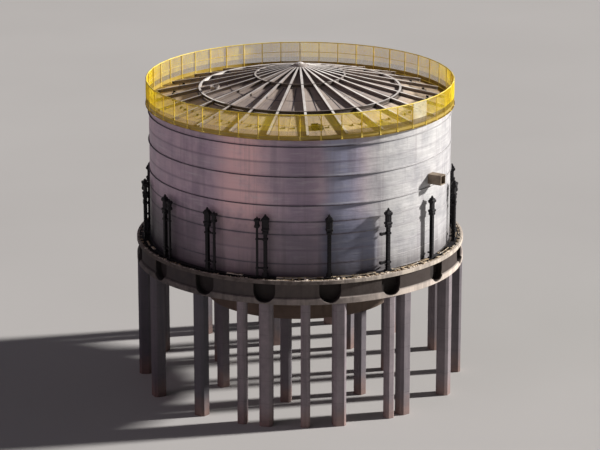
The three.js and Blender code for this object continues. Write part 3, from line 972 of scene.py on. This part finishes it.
def vent_cap():
    body = Body()
    flange_top = HUB_TOP + 0.017
    body.ring([(0.01, HUB_TOP), (CAP_RADIUS, HUB_TOP), (CAP_RADIUS, flange_top), (0.15, flange_top),
               (0.146, CAP_TOP - 0.023), (0.14, CAP_TOP - 0.005), (0.13, CAP_TOP), (0.01, CAP_TOP)], 32)
    for k in range(12):
        body.tube(station(30 * k, 0.195), (0, 0, HUB_TOP + 0.01), (0, 0, HUB_TOP + 0.035), 0.014, 6)
    return body


def roof_lugs():
    body = Body()
    for k in range(RAFTERS):
        for turn in (-2.1, 2.1):
            angle = RAFTER_START + RAFTER_TURN * (k + 0.5) + turn
            where = station(angle, HATCH_RADIUS, roof_top(HATCH_RADIUS))
            body.block(where, (0.02, 0.14, 0.1), (0, 0, 0.04), 0.004)
            body.block(where, (0.1, 0.16, 0.012), (0, 0, -0.002), 0.002)
    return body


show("vent_cap", vent_cap(), PRIMER, ("roof_cap",))
show("roof_lugs", roof_lugs(), BLACK)


# Hatch with its lid half off, and the collar of a nozzle
def hatch():
    body = Body()
    slope = Matrix.Rotation(atan(ROOF_SLOPE), 4, "X")
    where = station(HATCH_ANGLE, HATCH_RADIUS, roof_top(HATCH_RADIUS)) @ slope
    middle, wide, long, wall, high = -0.13, 0.33, 0.47, 0.03, 0.13
    for side in (-1, 1):
        body.block(where, (wide + wall, wall, high), (middle, side * long / 2, high / 2), 0.004)
        body.block(where, (wall, long - wall, high), (middle + side * wide / 2, 0, high / 2), 0.004)
    body.block(where, (0.3, 0.44, 0.02), (middle, 0, 0.012), 0.002)
    lid = where @ Matrix.Translation((0.18, -0.03, 0.075)) @ Matrix.Rotation(radians(22), 4, "Y")
    body.block(lid, (0.26, 0.44, 0.022), chamfer=0.005)
    body.tube(lid, (0, -0.1, 0.02), (0, 0.1, 0.02), 0.012, 8)
    return body


def collar():
    body = Body()
    centre = polar(COLLAR_ANGLE, COLLAR_RADIUS)
    low, high = roof_top(COLLAR_RADIUS) - 0.07, roof_top(COLLAR_RADIUS) + 0.26
    inner, wall, flange, under = 0.205, 0.23, 0.26, high - 0.03
    profile = [(inner, low), (wall, low), (wall, under), (flange, under), (flange, high), (inner, high)]
    angles, bolts = range(0, 360, 9), 12
    loops = [[centre + polar(angle, radius, height) for radius, height in profile] for angle in angles]
    body.loft(loops, ring=True, tone=0.85)
    for k in range(bolts):
        spot = Matrix.Translation(centre + polar(360 / bolts * (k + 0.5), (wall + flange) / 2))
        body.tube(spot, (0, 0, high - 0.04), (0, 0, high + 0.018), 0.009, 6)
    return body


show("manhole", hatch(), BLACK, ("roof_hatch",))
show("roof_nozzle", collar(), PRIMER, ("roof_collar",))


# Duct on the side of the shell, open at its outer end, with a back plate and louvre blades inside, painted
# black as shade in its mouth
BOX_MIDDLE = (BOX_BOTTOM + BOX_TOP) / 2
BOX_HIGH = BOX_TOP - BOX_BOTTOM


def side_box():
    body = Body()
    where = station(BOX_ANGLE)
    sheet = 0.012
    depth = BOX_OUTER - BOX_INNER - sheet
    centre = (sheet - BOX_INNER - BOX_OUTER) / 2
    collar_at = sheet / 2 - BOX_OUTER
    for side in (-1, 1):
        level = BOX_MIDDLE + side * BOX_HIGH / 2
        body.block(where, (0.018, depth, BOX_HIGH - 0.002), (side * 0.231, centre, BOX_MIDDLE), 0.003)
        body.block(where, (0.476, depth, 0.018), (0, centre, level - side * 0.009), 0.003)
        body.block(where, (0.05, sheet, BOX_HIGH), (side * 0.215, collar_at, BOX_MIDDLE), 0.003)
        body.block(where, (0.4, sheet, 0.05), (0, collar_at, level - side * 0.025), 0.003)
        for x in (-0.215, 0, 0.215):
            z = level - side * 0.025
            body.tube(where, (x, -BOX_OUTER + 0.02, z), (x, -BOX_OUTER, z), 0.01, 6)
        for reach in (8.02, 8.28):
            body.block(where, (sheet, 0.03, BOX_HIGH - 0.04), (side * 0.218, -reach, BOX_MIDDLE), 0.002)
    return body


def duct_insert_painted_shade():
    body = Body()
    where = station(BOX_ANGLE)
    margin, blades = 0.07, 5
    # Black back plate across the duct: painted shade in its mouth
    body.block(where, (0.44, 0.02, BOX_HIGH - 0.04), (0, -8.02, BOX_MIDDLE), 0.003)
    for k in range(blades):
        height = BOX_BOTTOM + margin + (BOX_HIGH - 2 * margin) * k / (blades - 1)
        blade = where @ Matrix.Translation((0, -8.16, height)) @ Matrix.Rotation(radians(28), 4, "X")
        body.block(blade, (0.43, 0.1, 0.006), chamfer=0.001)
        body.tube(blade, (-0.215, 0, 0), (0.215, 0, 0), 0.008, 8)
    return body


show("side_duct", side_box(), RUST, ("side_box",))
show("duct_insert_painted_shade", duct_insert_painted_shade(), BLACK)


# Guard rail: posts, rails and toe board, with the net outside them
def guard_rail(quarter):
    body = Body()
    bays = RAIL_POSTS // 4
    starts = [90 * quarter + BAY_TURN * k for k in range(bays)]
    angles = starts + [90 * (quarter + 1) - degrees(0.036 / RAIL_RADIUS)]
    for angle in starts:
        where = station(angle, RAIL_RADIUS)
        body.tube(where, (0, 0, CURB_TOP + 0.004), (0, 0, RAIL_TOP + 0.01), 0.029, 12)
        body.block(where, (0.12, 0.12, 0.012), (0, 0, CURB_TOP + 0.006), 0.003)
        for x in (-0.045, 0.045):
            for y in (-0.045, 0.045):
                body.tube(where, (x, y, CURB_TOP + 0.01), (x, y, CURB_TOP + 0.028), 0.009, 6)
        body.block(where, (0.05, 0.05, 0.12), (0, 0, 14.92), 0.006)
    for height, size in ((RAIL_TOP, 0.027), (RAIL_MIDDLE, 0.01)):
        body.swept([(RAIL_RADIUS + u, height + v) for u, v in circle(size, 10)], angles)
    board = [(-0.006, TOE_BOTTOM), (0.006, TOE_BOTTOM), (0.006, TOE_TOP - 0.004), (0.002, TOE_TOP),
             (-0.002, TOE_TOP), (-0.006, TOE_TOP - 0.004)]
    # Painted shade: the toe board takes the dark tone
    body.swept([(RAIL_RADIUS + u, height) for u, height in board], angles, tone=1)
    return body


for quarter in range(4):
    number = quarter + 1
    rail = guard_rail(quarter)
    show(f"guard_rail_tubes_{number}", rail, RAIL_YELLOW, (f"guard_rail_{number}",))


NET_LOW = TOE_TOP - 0.03
NET_WIRES = 24


def upright_wires(body, left, right, belly, cross):
    along = (right - left).normalized()
    outward = (left + right).normalized()
    stages = ((NET_LOW, 0.2), (NET_LOW + 0.22, 0.4), (NET_LOW + 0.27, 0.5),
              ((NET_LOW + RAIL_TOP) / 2, 1), (RAIL_TOP, 0.2))
    for k in range(NET_WIRES):
        share = (k + 0.5 + random.uniform(-0.12, 0.12)) / NET_WIRES
        push = outward * belly * sin(pi * share)
        loops = []
        for height, bow in stages:
            spot = left.lerp(right, share) + push * bow
            spot.z = height
            loops.append([spot + along * u + outward * v for u, v in cross])
        # Painted shade: the lowest segments take the dark tone
        body.loft(loops, tone=lambda row, k: 1 if row < 2 else 0)


def level_wires(body, left, right, belly, cross):
    outward = (left + right).normalized()
    for k in range(NET_WIRES):
        height = NET_LOW + (RAIL_TOP - NET_LOW) * (k + 0.5) / NET_WIRES
        bow = sin(pi * (k + 0.5) / NET_WIRES)
        loops = []
        for share in (0, 0.33, 0.67, 1):
            arch = sin(pi * share)
            spot = left.lerp(right, share) + outward * belly * bow * arch
            spot.z = height - 0.006 * arch
            loops.append([spot + outward * u + Vector((0, 0, v)) for u, v in cross])
        # Painted shade: the lowest wires take the dark tone
        body.loft(loops, tone=1 if height < NET_LOW + 0.25 else 0)


def net(bays, wire):
    """Net of the given bays, bellied outwards a little, with painted shade near the foot."""
    body = Body()
    random.seed(23)
    cross = [(wire, 0), (0, wire), (-wire, 0), (0, -wire)]
    for bay in bays:
        left, right = [polar(BAY_TURN * post, NET_RADIUS) for post in (bay, bay + 1)]
        belly = random.uniform(0, 0.02)
        upright_wires(body, left, right, belly, cross)
        level_wires(body, left, right, belly, cross)
    return body


yellow_bays = [bay for bay in range(RAIL_POSTS) if bay != PALE_BAY]
show("guard_net", net(yellow_bays, 0.0055), NET_YELLOW)
# One bay of net, denser and pale, partly a painted glare of the sun
show("pale_net", net([PALE_BAY], 0.0125), NET_PALE)


# Lifting posts with their jacks, arms and poles
def blocks(body, where, parts):
    """Blocks on the local axis, each (width, depth, height, middle above the ground, chamfer)."""
    for width, depth, height, middle, chamfer in parts:
        body.block(where, (width, depth, height), (0, 0, middle), chamfer)


def lifting_post(body, where):
    foot = JACK_RAIL_TOP
    body.block(where, (0.36, 0.25, 0.024), (0, 0, foot + 0.012), 0.004)
    for x in (-0.15, 0.15):
        for y in (-0.09, 0.09):
            body.tube(where, (x, y, foot + 0.02), (x, y, foot + 0.06), 0.02, 6)
        body.block(where, (0.08, 0.014, 0.2), (x * 0.82, 0, foot + 0.12), 0.003)
    section = [where @ Vector((x, y - 0.085, 0)) for x, y in beam_section(0.17, 0.17, 0.016, 0.014)]
    body.loft([[point + Vector((0, 0, z)) for point in section] for z in (foot + 0.02, 10.14)])
    for k in range(17):
        body.block(where, (0.09, 0.026, 0.05), (0, -0.094, 8.02 + 0.125 * k), 0.006)
    for z in (8.05, 8.9, 9.75):
        body.block(where, (0.16, 0.135, 0.014), (0, 0, z), 0.002)
    body.block(where, (0.1, 0.24, 0.07), (0, 0.1, 8.02), 0.01)


def post_head(body, where):
    """Jack on a post: two cylinders between heavy blocks, and a screw with its nut on top."""
    blocks(body, where, ((0.28, 0.27, 0.16, 10.1, 0.03), (0.37, 0.29, 0.15, 10.25, 0.035),
                         (0.14, 0.2, 0.42, 10.48, 0.02), (0.38, 0.3, 0.17, 10.755, 0.04),
                         (0.24, 0.22, 0.08, 10.865, 0.03)))
    for x in (-0.095, 0.095):
        for low, high, radius in ((10.3, 10.68, 0.085), (10.44, 10.47, 0.093), (10.62, 10.66, 0.093)):
            body.tube(where, (x, 0, low), (x, 0, high), radius, 16)
    body.tube(where, (0, 0, 10.88), (0, 0, 11.03), 0.042, 12)
    body.tube(where, (0, 0, 10.91), (0, 0, 10.975), 0.075, 6)


def arms(body, where, side, deep):
    reach = side * POLE_OFFSET
    for z in ARM_HEIGHTS:
        body.block(where, (POLE_OFFSET, 0.07, deep), (reach / 2, 0, z), 0.006)
        body.block(where, (0.24, 0.25, 0.11), (0, 0, z), 0.012)
        body.block(where, (0.15, 0.15, deep + 0.015), (reach, 0, z), 0.012)


def pole(body, where):
    foot, top = JACK_RAIL_TOP, 10.36
    blocks(body, where, ((0.22, 0.22, 0.02, foot + 0.01, 0.003),
                         (0.108, 0.108, top - foot, (top + foot) / 2, 0.012),
                         (0.27, 0.25, 0.15, 10.4, 0.03), (0.29, 0.27, 0.15, 10.72, 0.035)))
    body.tube(where, (0, 0, 10.44), (0, 0, 10.7), 0.115, 16)
    body.tube(where, (0, 0, 10.78), (0, 0, 10.88), 0.035, 10)


def jack(body, index):
    angle = JACK_START + JACK_TURN * index
    side = POLE_SIDES[index]
    bare = index == BARE_ARM_STATION
    where = station(angle, JACK_RADIUS)
    lifting_post(body, where)
    post_head(body, where)
    if side:
        arms(body, where, side, 0.13 if bare else 0.085)
    if side and not bare:
        pole(body, station(angle, JACK_RADIUS, 0, side * POLE_OFFSET))


def gear_rail(body, start):
    """Quarter of the rolled beam that the posts stand on, with stiffeners."""
    trim, steps, stiffeners = 0.002, 60, 24
    angles = [start + trim + (90 - 2 * trim) * k / steps for k in range(steps + 1)]
    inner, outer, web = JACK_RAIL_INNER, JACK_RAIL_OUTER, 0.006
    low, high = TABLE_TOP + 0.001, JACK_RAIL_TOP
    near, far = JACK_RADIUS - web, JACK_RADIUS + web
    body.swept([(inner, low), (outer, low), (outer, low + 0.012), (far, low + 0.014), (far, high - 0.014),
                (outer, high - 0.012), (outer, high), (inner, high), (inner, high - 0.012),
                (near, high - 0.014), (near, low + 0.014), (inner, low + 0.012)], angles)
    for k in range(stiffeners):
        where = station(start + 90 * (k + 0.5) / stiffeners, JACK_RADIUS, (TABLE_TOP + JACK_RAIL_TOP) / 2)
        body.block(where, (0.012, 0.25, 0.085), chamfer=0.001)


for quarter in range(4):
    gear = Body()
    gear_rail(gear, JACK_START + 90 * quarter - JACK_TURN / 2)
    for index in range(4 * quarter, 4 * quarter + 4):
        jack(gear, index)
    number = quarter + 1
    show(f"lifting_posts_{number}", gear, BLACK, (f"lifting_gear_{number}",), crease=30)


# Mortar crumbs and offcuts left on the ledge
def heaped(*heaps):
    """An angle anywhere round the table or in one of the heaps, each (middle, spread)."""
    return random.choice([random.uniform(-180, 180)] + [random.gauss(*heap) for heap in heaps])


def scatter(body, count, pick_angle, sizes, reaches, lengths, flatness, sinking, floor, tones):
    for _ in range(count):
        angle = pick_angle()
        size = random.uniform(*sizes)
        turned = station(angle, random.uniform(*reaches)) @ Matrix.Rotation(random.uniform(0, 3.1), 4, "Z")
        length = size * random.uniform(*lengths)
        middle = (0, 0, floor + size * sinking)
        body.block(turned, (length, size, size * flatness), middle, size * 0.16, random.uniform(*tones))


def offcuts(body, count):
    """Flat strips lying on the rail, moved aside where a lifting post stands."""
    half_step, clearance, reach = JACK_TURN / 2, 5.2, 8.125
    for _ in range(count):
        angle = heaped((48, 22), (3, 16))
        if abs((angle - JACK_START + half_step) % JACK_TURN - half_step) < clearance:
            angle += BAY_TURN
        length = random.uniform(0.3, 0.95)
        skew = Matrix.Rotation(random.uniform(-0.09, 0.09), 4, "Z")
        size = (length, random.uniform(0.07, 0.15), 0.032)
        where = station(angle, reach, JACK_RAIL_TOP + size[2] / 2) @ skew
        body.block(where, size, chamfer=0.003, tone=random.uniform(0.3, 1))


crumbs = Body()
random.seed(41)
scatter(crumbs, 520, lambda: heaped((42, 26), (4, 14)), (0.03, 0.1), (8.28, 8.34), (0.8, 2), 0.7, 0.33,
        TABLE_TOP, (0, 1))
scatter(crumbs, 60, lambda: random.gauss(36, 19), (0.08, 0.15), (8.27, 8.33), (0.9, 1.8), 0.8, 0.38,
        TABLE_TOP, (0.2, 1))
scatter(crumbs, 110, lambda: heaped((12, 16)), (0.03, 0.075), (8.41, 8.46), (0.8, 1.6), 0.6, 0.28,
        LIP_TOP, (0.5, 1))
offcuts(crumbs, 70)
show("ledge_crumbs", crumbs, CRUMBS)


# Floor, light and camera
def stage_floor():
    f = Finish("pale_floor")
    f.base(f.noise(0.05, 3, 0.5), (0.3, (0.49, 0.48, 0.47)), (0.7, (0.52, 0.51, 0.5)))
    mesh = bpy.data.meshes.new("floor")
    reach, level = 900, -0.002
    corners = [(x * reach, y * reach, level) for x, y in ((-1, -1), (1, -1), (1, 1), (-1, 1))]
    mesh.from_pydata(corners, [], [(0, 1, 2, 3)])
    mesh.materials.append(f.done(0.85))
    add_object("floor", mesh)


def aim(made, direction, axis):
    made.rotation_mode = "QUATERNION"
    made.rotation_quaternion = direction.to_track_quat(axis, "Y")


def sun(name, azimuth, elevation, strength, softness, colour):
    data = bpy.data.lights.new(name, "SUN")
    data.energy = strength
    data.angle = radians(softness)
    data.color = colour
    towards = polar(azimuth, cos(radians(elevation)), sin(radians(elevation)))
    aim(add_object(name, data), towards, "Z")


def studio_light():
    sun("key", 102, 23.5, 6.6, 4, (1, 0.965, 0.93))
    sun("fill", -62, 16, 0.42, 60, (1, 0.74, 0.88))
    world = bpy.data.worlds.new("studio")
    world.use_nodes = True
    background = world.node_tree.nodes["Background"]
    background.inputs["Color"].default_value = (0.8, 0.85, 0.95, 1)
    background.inputs["Strength"].default_value = 0.07
    bpy.context.scene.world = world
    bpy.context.scene.view_settings.view_transform = "Standard"


def main_camera():
    data = bpy.data.cameras.new("camera")
    data.lens = 168
    data.sensor_width = 36
    data.clip_start = 1
    data.clip_end = 3000
    camera = add_object("camera", data)
    camera.location = (0, -140.3, 50.26)
    aim(camera, Vector((0, 0, 8.1)) - camera.location, "-Z")
    bpy.context.scene.camera = camera


stage_floor()
studio_light()
main_camera()
